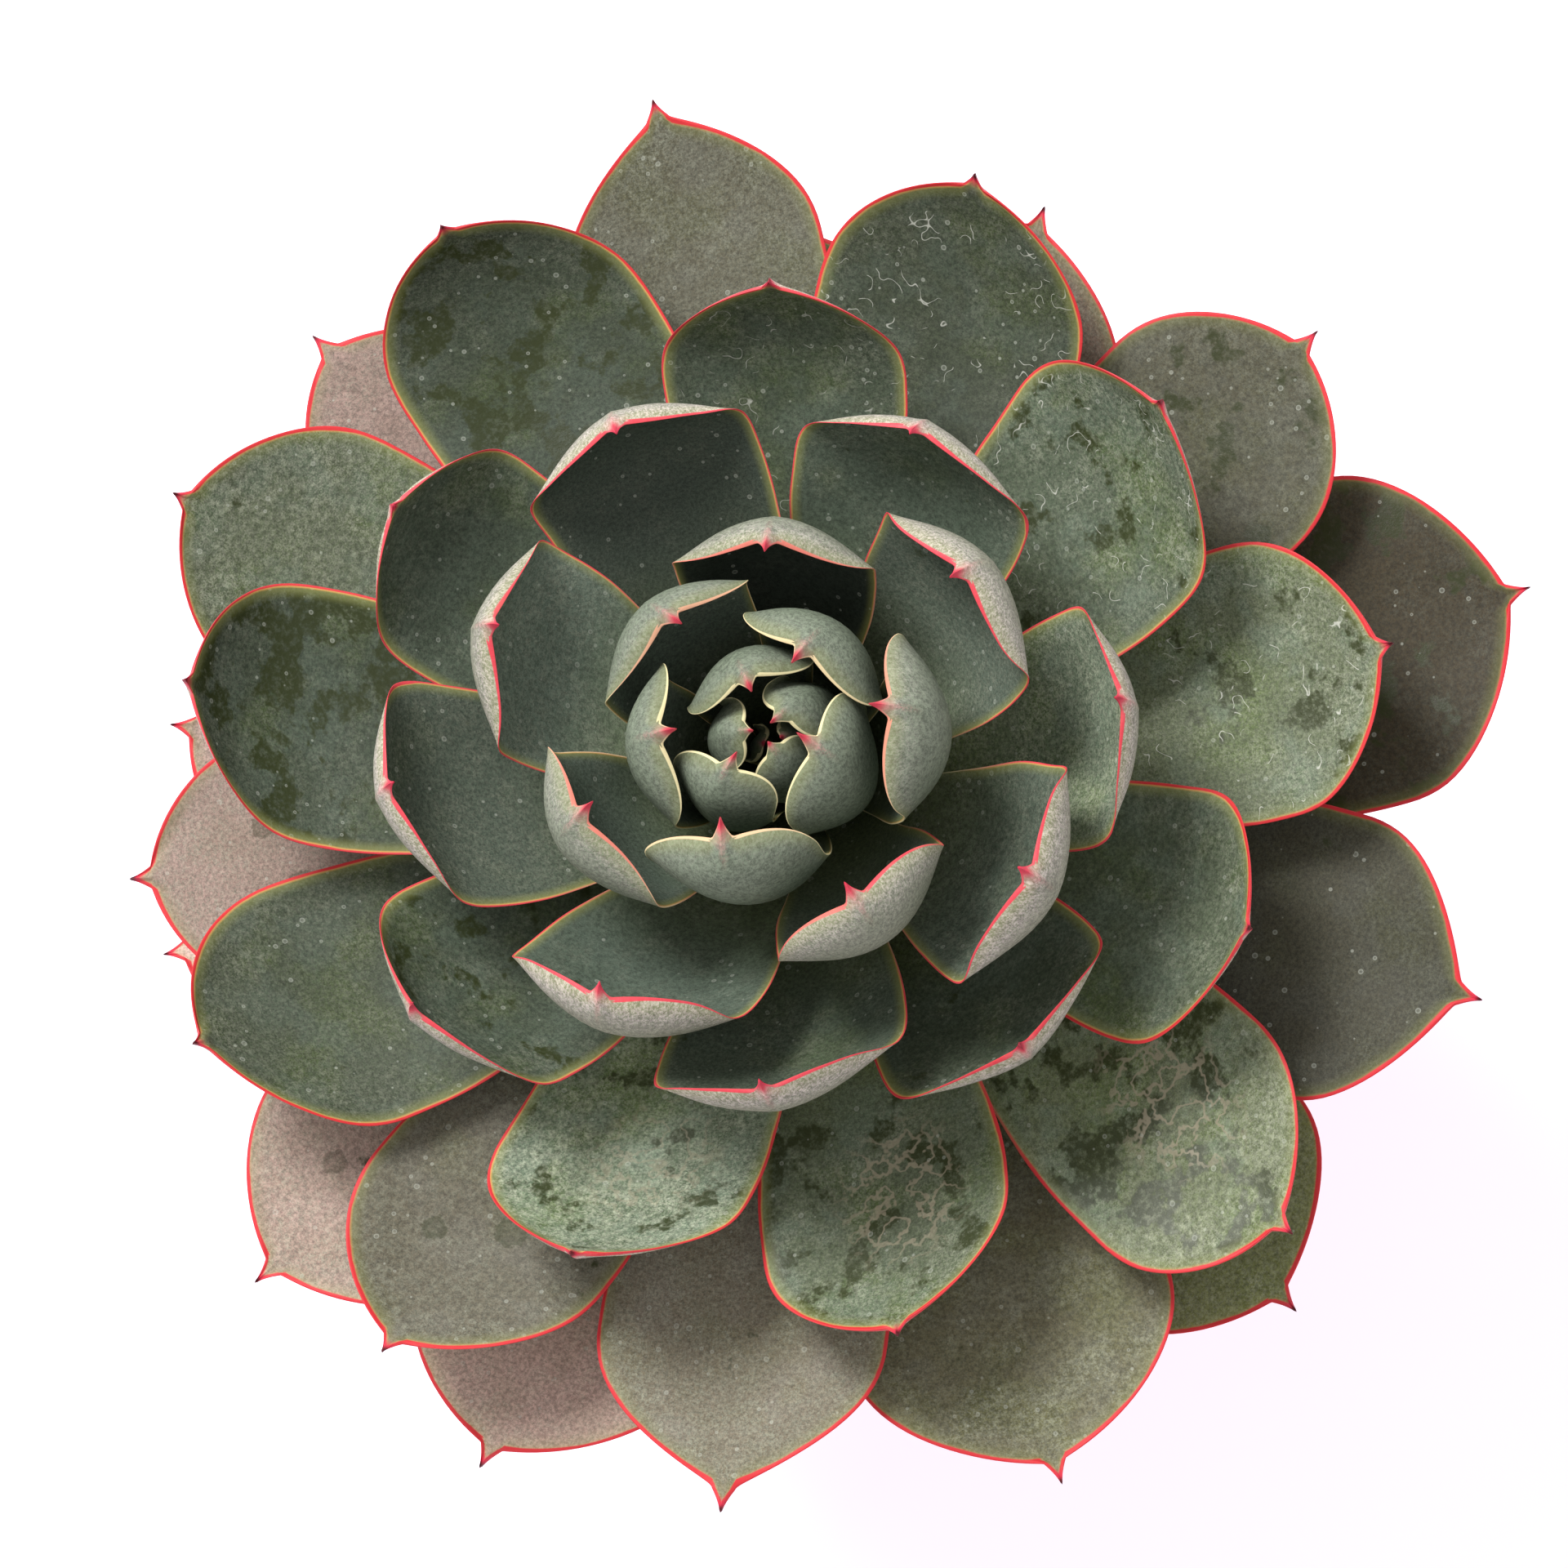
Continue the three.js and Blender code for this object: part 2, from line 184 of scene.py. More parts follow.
# Puts a geometry tree on an object and sets its inputs
def growOn(piece, tree, values):
    modifier = piece.modifiers.new(tree.name, "NODES")
    modifier.node_group = tree
    names = {item.name: item.identifier for item in tree.interface.items_tree if item.in_out == "INPUT"}
    for label, value in values.items():
        modifier[names[label]] = value
    return piece


# Turns what the modifiers make into the object's own plain mesh
def settle(pieces):
    evaluated = bpy.context.evaluated_depsgraph_get()
    made = [bpy.data.meshes.new_from_object(piece.evaluated_get(evaluated)) for piece in pieces]
    for piece, mesh in zip(pieces, made):
        piece.modifiers.clear()
        piece.data = mesh


def newPiece(name, mesh=None):
    piece = bpy.data.objects.new(name, mesh or bpy.data.meshes.new(name))
    bpy.context.scene.collection.objects.link(piece)
    return piece


# A closed round body from a list of (radius, height), in mm. The first and last points are on the axis.
def turnedMesh(name, profile, sides):
    rings = profile[1:-1]
    angles = np.linspace(0, 2 * math.pi, sides, endpoint=False)
    points = [(0, 0, profile[0][1])]
    for radius, height in rings:
        points += [(radius * math.cos(a), radius * math.sin(a), height) for a in angles]
    points.append((0, 0, profile[-1][1]))
    faces = []
    for k in range(len(rings) - 1):
        for i in range(sides):
            low, high = 1 + k * sides, 1 + (k + 1) * sides
            faces.append((low + i, low + (i + 1) % sides, high + (i + 1) % sides, high + i))
    last = 1 + (len(rings) - 1) * sides
    for i in range(sides):
        faces.append((0, 1 + (i + 1) % sides, 1 + i))
        faces.append((len(points) - 1, last + i, last + (i + 1) % sides))
    mesh = bpy.data.meshes.new(name)
    mesh.from_pydata([Vector(p) * mm for p in points], [], faces)
    mesh.shade_smooth()
    return mesh


# The plant: how it leans, and how its leaves change from the heart out. Lengths are in mm, angles in degrees.

plant = {
    "leanAngle": 4,
    "leanTowards": 184,
    "soilLevel": 69,
    "stemFoot": 40,
    "stemTop": 113,
    "stemRadius": 6.6,
    "stemTopRadius": 1.3,
    "stemTaperPower": 1.3,
    "spiralStep": 137.6,
    "spiralStart": 295,
    # pairs of a leaf's place and the value there
    "footHeight": [(0, 112), (10, 105.5), (20, 100), (30, 94.5), (40, 89), (53, 81)],
    "tipHeight": [(0, 131), (3, 135), (8, 136), (12, 134), (16, 131), (20, 127.5),
                  (25, 121), (30, 113.5), (35, 107), (40, 100), (45, 94), (53, 85.5)],
    "footRise": [(0, 52), (5, 44), (10, 38), (15, 36), (20, 34), (25, 31),
                 (30, 27), (35, 22), (40, 17), (45, 12), (53, 6)],
    "tipRise": [(0, 150), (5, 148), (10, 143), (15, 122), (20, 98), (25, 80),
                (30, 60), (34, 42), (37, 30), (40, 20), (45, 8), (53, 0)],
    "cupAngle": [(0, 75), (5, 66), (10, 58), (15, 50), (20, 42),
                 (25, 34), (30, 27), (35, 22), (40, 16), (53, 10)],
    "thickness": [(0, 1.6), (5, 2.4), (10, 3.2), (20, 3.8), (30, 3.7), (40, 3.3), (53, 3)],
    "marginThickness": [(0, 0.25), (10, 0.32), (30, 0.45), (53, 0.5)],
    "toothLength": [(0, 1.3), (4, 2.4), (12, 2.3), (20, 1.8), (30, 1.6), (36, 1.9), (42, 2.6), (53, 2.6)],
    "clawDepth": [
        (0, 0.5), (3, 1.4), (4, 0.5), (5, 1.2), (6, 1.4), (7, 1.1), (8, 2.2), (9, 1.1), (10, 2.2),
        (11, 1.7), (12, 0.7), (13, 2.2), (14, 0.8), (15, 1.7), (18, 2), (21, 1.9), (22, 0.9),
        (23, 1.9), (24, 1.8), (25, 0.8), (26, 1.8), (27, 1), (28, 0.9), (29, 1.5), (31, 1.2),
        (35, 0.4), (38, 0),
    ],
    "shoulderPower": [(0, 0.5), (4, 0.4), (15, 0.42), (25, 0.53), (36, 0.62), (37, 0.66), (38, 0.85),
                      (39, 0.6), (41, 0.62), (42, 0.95), (43, 0.7), (44, 0.85), (45, 0.7), (53, 0.7)],
    "ribDepth": [(0, 0), (20, 0.02), (30, 0.08), (40, 0.16), (53, 0.22)],
    "unevenness": [(0, 0.05), (10, 0.15), (30, 0.45), (53, 0.7)],
}

# A row a leaf, from the heart out: turn off the spiral, reach, breadth, side lean, twist
leafRows = [
    [11, 0.6, 10, 0, 6],
    [15, 0.9, 10, -0.2, 10],
    [22, 1.3, 11, 0, 10],
    [-10, 3, 15, -0.1, 16],
    [7, 3.7, 18, -0.9, 0],
    [3, 3.8, 19, 1.6, 5],
    [-5, 8.1, 21, -0.8, 2],
    [7, 7.4, 21, 0.2, -6],
    [-11, 9.4, 22, -2.3, 11],
    [1, 13.1, 23.5, -3.1, -10],
    [0, 11.3, 22.5, 2.4, 0],
    [-11, 18.1, 24, -2.7, 5],
    [5, 18.6, 25, -0.2, -4],
    [-7, 17.8, 24, 0, 6],
    [-9, 30, 26.5, -1.9, 11],
    [6, 24.8, 27, 1, 2],
    [-12, 29.8, 28, -2.7, 14],
    [-1, 36.2, 28, 0.5, -2],
    [-8, 29.2, 27.5, 0.8, 4],
    [-15, 39.4, 27.5, -0.5, 14],
    [1, 35.1, 29, 1, 2],
    [-14, 34.5, 28.5, -2, 9],
    [0, 48.9, 27, -1.5, 0],
    [-7, 35.2, 27, 2.5, 4],
    [-18, 46, 29, -1, 7],
    [-3, 50.7, 28, -0.5, -5],
    [-9, 39.1, 28.5, 0, -2],
    [-8, 65.7, 30, -1.5, 9],
    [-2, 54, 31, 3, -4],
    [-21, 55.6, 29, 2, 16],
    [-4, 72, 31, -1, -8],
    [-14, 50.6, 29, 3.5, 7],
    [-8, 70.5, 31, -1.5, 10],
    [-1, 67.5, 31.5, 0.5, -5],
    [-17, 59.9, 28.5, 0, 10],
    [-4, 77.5, 32, -1.5, 0],
    [-8, 63.5, 31, -2, 0],
    [-13, 75, 30, 2, 9],
    [-2, 79, 30, -2, 3],
    [-13, 70, 29.5, 0.5, 11],
    [-6, 76, 30, 0.5, 1],
    [-12, 73, 31, 0.5, 1],
    [-16, 77, 32, 3, 7],
    [-2, 78.5, 27, 0.5, -4],
    [-20, 74, 32, 1, 1],
    [-5, 80.5, 33, 1.5, 5],
    [-17, 70, 30, 1.5, -9],
    [-18, 77.5, 36, -1.5, -5],
    [0, 75, 29, 1, -8],
    [-17, 79, 37, 0.5, 0],
    [-13, 80.5, 34, -1, 5],
    [-24, 68, 26, -0.5, -5],
    [-28, 74, 33, 0, 4],
    [-12, 77, 29, -0.5, -8],
]

leanTurn = math.radians(plant["leanTowards"])
leanAxis = Vector((-math.sin(leanTurn), math.cos(leanTurn), 0))
leanCentre = Vector((0, 0, plant["soilLevel"]))
lean = (Matrix.Translation(leanCentre * mm)
        @ Matrix.Rotation(math.radians(plant["leanAngle"]), 4, leanAxis)
        @ Matrix.Translation(-leanCentre * mm))


# The value at a place in one of the plant's lists
def along(name, place):
    places, values = zip(*plant[name])
    return float(np.interp(place, places, values))


def stemRadiusAt(z):
    low, high = plant["stemRadius"], plant["stemTopRadius"]
    share = min(1, max(0, (z - plant["soilLevel"]) / (plant["stemTop"] - plant["soilLevel"])))
    return low + (high - low) * share ** plant["stemTaperPower"]


# The leaf: a blade bent round a curved middle line. Lengths are in mm, and places along the leaf run from
# 0 at its foot to 1 at its tip.

leafShape = {
    "widestPlace": 0.75,
    "footBreadth": 0.21,
    "footPower": 1.7,
    "toothFootWidth": 1.25,
    "toothPointWidth": 0.1,
    "toothPower": 1.5,
    "toothBlend": 0.3,
    "handleLength": 0.36,
    "clawRun": 7,
    "lobeFlare": 2,
    "flareRun": 0.31,
    "flarePeak": 0.69,
    "flareEnd": 0.97,
    "cupAtFoot": 0.35,
    "cupTurn": 0.74,
    "cupPower": 0.9,
    "footThickness": 0.5,
    "thinFrom": 0.91,
    "tipThinning": 0.45,
    "endRun": 5,
    "keelShare": 0.7,
    "keelFrom": 0.68,
    "keelPower": 1.15,
    "keelHeight": 0.42,
    "ridgeFrom": 0.66,
    "marginRoundness": 8,
    "fullMarginHalf": 1.3,
    "outlineWander": 0.12,
    "ribWaves": 7.5,
    "rings": 66,
    "pointsAround": 57,
    "toothRings": 0.15,
    "ringBunching": 1.7,
    "footSunk": 0.8,
}

leafMarks = ["Pink", "Brown", "Olive", "Dusty", "Rubbed", "Stained", "Scratched", "Ringed", "LightShade"]
leafInputs = ["Reach", "Breadth", "Side", "Twist", "Foot out", "Foot height", "Tip height", "Rise",
              "Tip lean", "Cup", "Thickness", "Margin", "Tooth", "Claw", "Shoulder", "Ribs", "Unevenness",
              "Turn", "Seed", "Place", *leafMarks]


# Half the breadth at a place along the leaf: full round shoulders, then a small tooth with hollow flanks
def halfBreadth(s, given, toothFoot):
    shape = leafShape
    g = s.tree
    widening = g.sine(g.math("MINIMUM", s / shape["widestPlace"], 1) * (math.pi / 2))
    foot = shape["footBreadth"] + (1 - shape["footBreadth"]) * widening ** shape["footPower"]
    run = (s - shape["widestPlace"]) / (toothFoot - shape["widestPlace"])
    t = g.math("MINIMUM", g.math("MAXIMUM", run, 0), 1)
    shoulder = given["Breadth"] * 0.5 * foot * (1 - t * t) ** given["Shoulder"]
    narrowing = g.math("MINIMUM", g.math("MAXIMUM", (1 - s) / (1 - toothFoot), 0), 1) ** shape["toothPower"]
    tooth = shape["toothPointWidth"] + (shape["toothFootWidth"] - shape["toothPointWidth"]) * narrowing
    tooth = tooth * g.ease(t, 0, shape["toothBlend"])
    return g.math("SQRT", shoulder * shoulder + tooth * tooth)


# The middle line: a curve in the upright plane through the axis, from the leaf's foot to its tip
def growSpine(g, given):
    rise, tipLean = given["Rise"], given["Tip lean"]
    out, low = given["Foot out"], given["Foot height"]
    reach = given["Reach"] + given["Claw"] * g.sine(tipLean)
    top = given["Tip height"] - given["Claw"] * g.cosine(tipLean)
    run, climb = reach - out, top - low
    handle = leafShape["handleLength"] * g.math("SQRT", run * run + climb * climb)
    longer = handle + given["Tooth"]
    places = {
        "Resolution": 48,
        "Start": g.join(out, 0, low),
        "Start Handle": g.join(out + handle * g.cosine(rise), 0, low + handle * g.sine(rise)),
        "End Handle": g.join(reach - longer * g.cosine(tipLean), 0, top - longer * g.sine(tipLean)),
        "End": g.join(reach, 0, top),
    }
    return g.node("GeometryNodeCurvePrimitiveBezierSegment", {"mode": "POSITION"}, places, out="Curve")


def growLeafTree():
    shape = leafShape
    tree, g, given = newGeometryTree("leafBlade", leafInputs, ["Skin"])

    # A square grid becomes the leaf: along x from foot to tip, along y once round the blade. So s runs from 0
    # at the foot to 1 at the tip, and v from -1 at one margin to 1 at the other.
    counts = {"Size X": 1, "Size Y": 1, "Vertices X": shape["rings"], "Vertices Y": shape["pointsAround"]}
    grid = g.node("GeometryNodeMeshGrid", values=counts)
    px, py, _ = g.split(g.node("GeometryNodeInputPosition"))
    turned = 1 - g.math("ABSOLUTE", (py + 0.5) * 4 - 2)
    v = g.sine(turned * (math.pi / 2))
    upper = py < -0.0001
    sideSign = g.math("SIGN", v)
    seed = given["Seed"]
    sine, cosine = g.sine, g.cosine
    spine = growSpine(g, given)
    spineLength = g.node("GeometryNodeCurveLength", values={"Curve": spine})

    # the rings crowd at the tooth, where the outline turns sharply
    toothFoot = 1 - given["Tooth"] / spineLength
    back = g.math("MAXIMUM", 0.5 - px, 0)
    onTooth = g.math("MINIMUM", back / shape["toothRings"], 1)
    onBlade = g.math("MAXIMUM", (back - shape["toothRings"]) / (1 - shape["toothRings"]), 0)
    s = 1 - (1 - toothFoot) * onTooth - toothFoot * onBlade ** shape["ringBunching"]
    sample = g.node("GeometryNodeSampleCurve", {"mode": "FACTOR"}, {"Curves": spine, "Factor": s},
                    out="Position")
    middleX, _, middleZ = g.split(sample)
    tangentX, _, tangentZ = g.split(sample.other("Tangent"))

    # the outline, a little different on each side
    wander = g.noise(g.join(s * 3.2, sideSign * 5, seed), 1, 1) - 0.5
    half = halfBreadth(s, given, toothFoot) * (1 + shape["outlineWander"] * wander)

    # how far in from the margin a point is: from how far it is across the blade and along it
    offMiddle = g.math("ABSOLUTE", v) * half
    share = g.math("MINIMUM", offMiddle / (given["Breadth"] * 0.5), 1)
    endThere = g.math("SQRT", g.math("MAXIMUM", 1 - share ** (1 / given["Shoulder"]), 0))
    lobeRun = (toothFoot - shape["widestPlace"]) * spineLength
    alongEdge = (endThere - (s - shape["widestPlace"]) / (toothFoot - shape["widestPlace"])) * lobeRun
    toothEdge = given["Tooth"] * g.math("MAXIMUM", 1 - offMiddle / shape["toothFootWidth"], 0)
    alongEdge = g.math("MAXIMUM", alongEdge, 0) + toothEdge
    acrossEdge = half - offMiddle
    edge = alongEdge * acrossEdge / g.math("SQRT", alongEdge * alongEdge + acrossEdge * acrossEdge + 0.0001)

    # thickness: full in the middle, rounded at the margin, keeled below near the tip
    fullness = (shape["footThickness"] + (1 - shape["footThickness"])
                * sine(g.math("MINIMUM", s / shape["thinFrom"], 1) * math.pi))
    deep = given["Thickness"] * fullness * (1 - shape["tipThinning"] * s ** 4)
    margin = given["Margin"] * g.math("MINIMUM", half / shape["fullMarginHalf"], 1)
    awayFromMiddle = g.math("ABSOLUTE", v)
    keel = g.ease(s, shape["keelFrom"], 1)
    power = 2 - (2 - shape["keelPower"]) * keel * (1 - upper)
    body = g.math("MAXIMUM", deep - given["Margin"], 0) * (1 - awayFromMiddle ** power)
    ridge = shape["keelHeight"] * g.ease(s, shape["ridgeFrom"], 0.9)
    ridge = ridge * (1 - awayFromMiddle ** 0.8) * (1 - upper)
    endThinning = 1 - g.math("MINIMUM", alongEdge / shape["endRun"], 1)
    body = (body + ridge) * (1 - endThinning * endThinning)
    rounding = g.math("SQRT", g.math("MAXIMUM", 1 - awayFromMiddle ** shape["marginRoundness"], 0))
    faceShare = upper * (1 - 2 * shape["keelShare"]) + shape["keelShare"]
    face = (margin * 0.5 * rounding + body * faceShare) * (upper * 2 - 1)

    # the cup, the soft ribs along the blade and its unevenness
    bend = given["Cup"] * (shape["cupAtFoot"] + (1 - shape["cupAtFoot"])
                           * sine(s ** shape["cupPower"] * (shape["cupTurn"] * math.pi)))
    ribs = given["Ribs"] * sine(v * shape["ribWaves"] + seed * 3)
    ribs = ribs * sine(g.math("MINIMUM", s * 1.1, 1) * math.pi)
    swell = g.noise(g.join(v * 1.3, s * 2.6, seed * 2), 1, 1) - 0.5
    swell = swell * given["Unevenness"] * 2 * g.ease(s, 0.15, 0.5)

    # the lobes of the cupped leaves curl outwards, nearer the end on leaves further out
    later = g.ease(given["Place"], 0.16, 0.3)
    peak = shape["flarePeak"] + 0.1 * later
    nearPeak = g.ease(s, peak - shape["flareRun"], peak)
    nearPeak = nearPeak * (1 - g.ease(s, peak, shape["flareEnd"] - 0.05 * later))
    flare = shape["lobeFlare"] * given["Cup"] * awayFromMiddle ** 5 * nearPeak
    lift = half / bend * (1 - cosine(bend * v)) + face + ribs + swell - flare
    sideways = half / bend * sine(bend * v)

    # the end hooks inwards, the ends of the grid close in the middle line, and the blade is twisted
    swing = given["Twist"] * s
    closed = (px > -0.4999) * (px < 0.4999)
    hook = g.math("MAXIMUM", 1 - (1 - s) * spineLength / shape["clawRun"], 0)
    lift = lift * closed + given["Claw"] * hook * hook
    sideways = sideways * closed
    out = middleX - tangentZ * lift * cosine(swing) - sideways * sine(swing)
    over = sideways * cosine(swing) - tangentZ * lift * sine(swing) + given["Side"] * s * s
    up = middleZ + tangentX * lift

    # turned to its place on the spiral, leaned with the plant
    placed = g.node("ShaderNodeVectorRotate", {"rotation_type": "Z_AXIS"},
                    {"Vector": g.join(out, over, up), "Angle": given["Turn"]})
    leaned = g.node("ShaderNodeVectorRotate", {"rotation_type": "AXIS_ANGLE"},
                    {"Vector": placed, "Center": leanCentre, "Axis": leanAxis,
                     "Angle": math.radians(plant["leanAngle"])})

    # what the skin needs to know at each point, in mm where it is a length. The seed gives each leaf its own
    # part of the noise.
    blade = g.join(v * half, s * spineLength, seed * 40)
    shown = grid
    for name, kind, value in [
        ("blade", "FLOAT_VECTOR", blade), ("edge", "FLOAT", edge), ("along", "FLOAT", s),
        ("tipWay", "FLOAT", (1 - s) * spineLength), ("upper", "FLOAT", upper),
        ("place", "FLOAT", given["Place"]), *[(mark.lower(), "FLOAT", given[mark]) for mark in leafMarks],
    ]:
        shown = g.node("GeometryNodeStoreNamedAttribute", {"data_type": kind, "domain": "POINT"},
                       {"Geometry": shown, "Name": name, "Value": value})
    moved = g.node("GeometryNodeSetPosition", values={"Geometry": shown, "Position": g.scaled(leaned, mm)})
    welded = g.node("GeometryNodeMergeByDistance", values={"Geometry": moved, "Distance": 0.004 * mm})
    smooth = g.node("GeometryNodeSetShadeSmooth", values={"Geometry": welded})
    real = g.node("GeometryNodeRealizeInstances", values={"Geometry": smooth})
    skinned = g.node("GeometryNodeSetMaterial", values={"Geometry": real, "Material": given["Skin"]})
    g.node("NodeGroupOutput", values={"Geometry": skinned})
    return tree


# The leaf's skin: green under a pale bloom, with a red margin

leafSkin = {
    "innerUpper": paint(84, 96, 84),
    "middleUpper": paint(62, 72, 56),
    "outerUpper": paint(76, 82, 58),
    "innerBack": paint(112, 122, 104),
    "outerBack": paint(134, 136, 118),
    "pinkFlush": paint(188, 154, 146),
    "brownFlush": paint(96, 72, 60),
    "oliveFlush": paint(90, 92, 48),
    "oliveCloud": paint(64, 78, 34),
    "blueCloud": paint(80, 92, 78),
    "bloomDust": paint(150, 152, 134),
    "backDust": paint(226, 212, 206),
    "rubbedPatch": paint(46, 52, 20),
    "deposit": paint(164, 154, 130),
    "scratch": paint(226, 226, 214),
    "oliveFootAndShade": paint(88, 98, 52),
    "marginInner": paint(240, 228, 176),
    "marginMiddle": paint(218, 62, 78),
    "marginOuter": paint(212, 40, 54),
    "marginFoot": paint(206, 196, 150),
    "orangeLine": paint(226, 168, 92),
    "glow": paint(148, 150, 80),
    "tipCrimson": paint(206, 44, 72),
    "tipPink": paint(216, 140, 140),
    "tipBrown": paint(64, 24, 24),
    "speckGlint": paint(206, 210, 196),
    "pore": paint(40, 48, 36),
    # rings left by drops: to the side of the middle line, from the tip, and their radius, in mm
    "dropRings": [(-4.5, 15, 1.1), (2.5, 19, 1.5)],
    # widths of the margin's line in the heart and on the outer leaves, in mm
    "innerMargin": 0.22,
    "outerMargin": 0.4,
}


def makeLeafSkin():
    c = leafSkin
    material, g, shader = newMaterial("bloomedLeafSkin", {"Specular IOR Level": 0.25})
    place = g.attribute("place")
    s = g.attribute("along")
    edge = g.attribute("edge")
    tipWay = g.attribute("tipWay")
    upper = g.attribute("upper")
    back = 1 - upper
    blade = g.attribute("blade", "Vector")
    across = g.math("ABSOLUTE", g.split(blade)[0])
    outer = g.ease(place, 0.25, 0.5)
    low = g.ease(place, 0.5, 0.8)

    # ground colours of the two faces, in soft clouds
    upperColour = g.mix(low, g.mix(outer, c["innerUpper"], c["middleUpper"]), c["outerUpper"])
    backColour = g.mix(g.ease(place, 0.15, 0.3), c["innerBack"], c["outerBack"])
    cloud = g.noise(blade, 0.1, 4, 0.55)
    secondCloud = g.noise(g.vectorMath("ADD", blade, (31, 7, 12)), 0.16, 4, 0.6)
    upperColour = g.mix(g.ease(cloud, 0.46, 0.66) * 0.6 * outer, upperColour, c["oliveCloud"])
    upperColour = g.mix(g.ease(secondCloud, 0.46, 0.62) * 0.5, upperColour, c["blueCloud"])
    # olive towards the foot of the upper face: partly the leaf's own colour, partly painted shade where the
    # leaves crowd over each other's feet
    upperColour = g.mix((1 - g.ease(s, 0.25, 0.62)) * 0.65, upperColour, c["oliveFootAndShade"])
    flushes = (("pink", "pinkFlush", 0.85), ("brown", "brownFlush", 0.75), ("olive", "oliveFlush", 0.8))
    for mark, flush, most in flushes:
        patchy = g.attribute(mark) * (0.55 + 0.8 * secondCloud) * most
        upperColour = g.mix(g.math("MINIMUM", patchy, 1), upperColour, c[flush])
    colour = g.mix(upper, backColour, upperColour)

    # the bloom: a fine pale grain, in clouds and towards the end of the blade
    grain = g.noise(blade, 4.5, 3, 0.7)
    coarse = g.noise(blade, 1.3, 3, 0.65)
    farEnd = g.ease(s, 0.55, 0.92) * (1 - 0.6 * g.ease(edge, 1, 9))
    dustCloud = g.ease(g.noise(blade, 0.2, 4, 0.6), 0.4, 0.68)
    dustAmount = 0.05 + 0.2 * farEnd * outer + 0.22 * dustCloud + 0.5 * g.attribute("dusty")
    dust = g.ease(grain * 0.6 + coarse * 0.4, 0.4, 0.62) * dustAmount * upper
    colour = g.mix(dust, colour, c["bloomDust"])
    backDust = g.ease(grain * 0.8 + coarse * 0.2, 0.42, 0.6) * (1 - g.ease(edge, 0.2, 4))
    backDust = backDust * g.ease(s, 0.5, 0.8) * back
    colour = g.mix(backDust * (0.1 + 0.65 * g.ease(place, 0.14, 0.3)), colour, c["backDust"])
    colour = g.mix(g.ease(grain, 0.5, 0.72) * 0.3, colour, c["pore"])
    mottle = g.noise(blade, 2.4, 4, 0.85)
    # mottled, and with painted light and shade: each leaf's upper face lighter or darker by how it lies lit
    # or shaded
    colour = g.scaled(colour, (0.6 + 0.8 * g.ease(mottle, 0.32, 0.68)) * (1 + g.attribute("lightshade") * upper))

    # ragged patches where the bloom is rubbed off
    ragged = g.noise(blade, 0.19, 4, 0.6)
    ragged = ragged + (coarse - 0.5) * 0.07 + g.attribute("rubbed") * 0.19
    rubbed = g.ease(ragged, 0.685, 0.74) * upper * g.ease(edge, 0.4, 1.5)
    colour = g.mix(rubbed * (0.85 - 0.4 * g.ease(coarse, 0.45, 0.65)), colour, c["rubbedPatch"])

    # winding deposits past the middle of the blade, and scratches
    winding = g.math("ABSOLUTE", g.noise(blade, 0.28, 3, 0.55) - 0.5)
    stainSide = (g.split(blade)[0] - 2) / 8
    stainAway = (s - 0.7) / 0.16
    stainPlace = 1 - g.ease(g.math("SQRT", stainSide * stainSide + stainAway * stainAway), 0.5, 1.1)
    stain = (1 - g.ease(winding, 0.012, 0.035)) * stainPlace * g.attribute("stained") * upper
    colour = g.mix(stain * 0.7, colour, c["deposit"])
    thread = g.math("ABSOLUTE", g.noise(g.vectorMath("ADD", blade, (90, 11, 40)), 0.4, 1) - 0.52)
    threadPlace = g.ease(g.noise(g.vectorMath("ADD", blade, (15, 33, 8)), 0.35, 2), 0.56, 0.6)
    scratch = (1 - g.ease(thread, 0.003, 0.011)) * threadPlace * g.attribute("scratched") * upper
    colour = g.mix(scratch * 0.55, colour, c["scratch"])

    # rings left by drops, and pale specks: partly pale dots on the skin, partly painted highlights on the
    # rims of raised drop marks
    for side, away, radius in c["dropRings"]:
        offSide, offAway = g.split(blade)[0] - side, tipWay - away
        fromMiddle = g.math("SQRT", offSide * offSide + offAway * offAway) + (coarse - 0.5) * 1.6
        ringLine = 1 - g.ease(g.math("ABSOLUTE", fromMiddle - radius), 0.12, 0.42)
        inside = 1 - g.ease(fromMiddle, radius * 0.7, radius)
        colour = g.mix(inside * g.attribute("ringed") * upper * 0.35, colour, c["rubbedPatch"])
        colour = g.mix(ringLine * g.attribute("ringed") * upper * 0.5, colour, c["rubbedPatch"])
    cellSettings = {"Vector": blade, "Scale": 0.7, "Randomness": 1}
    cells = g.node("ShaderNodeTexVoronoi", {"feature": "F1"}, cellSettings)
    cellPick, cellSize, _ = g.split(cells.other("Color"))
    speckRadius = 0.06 + cellSize * 0.14
    speckGlint = (1 - g.ease(cells, speckRadius, speckRadius + 0.05)) * (cellPick > 0.6) * upper
    # brighter at the rim than in the middle: a painted highlight round each raised mark
    speckGlint = speckGlint * (0.35 + 0.65 * g.ease(cells, speckRadius * 0.4, speckRadius))
    colour = g.mix(speckGlint * 0.3, colour, c["speckGlint"])

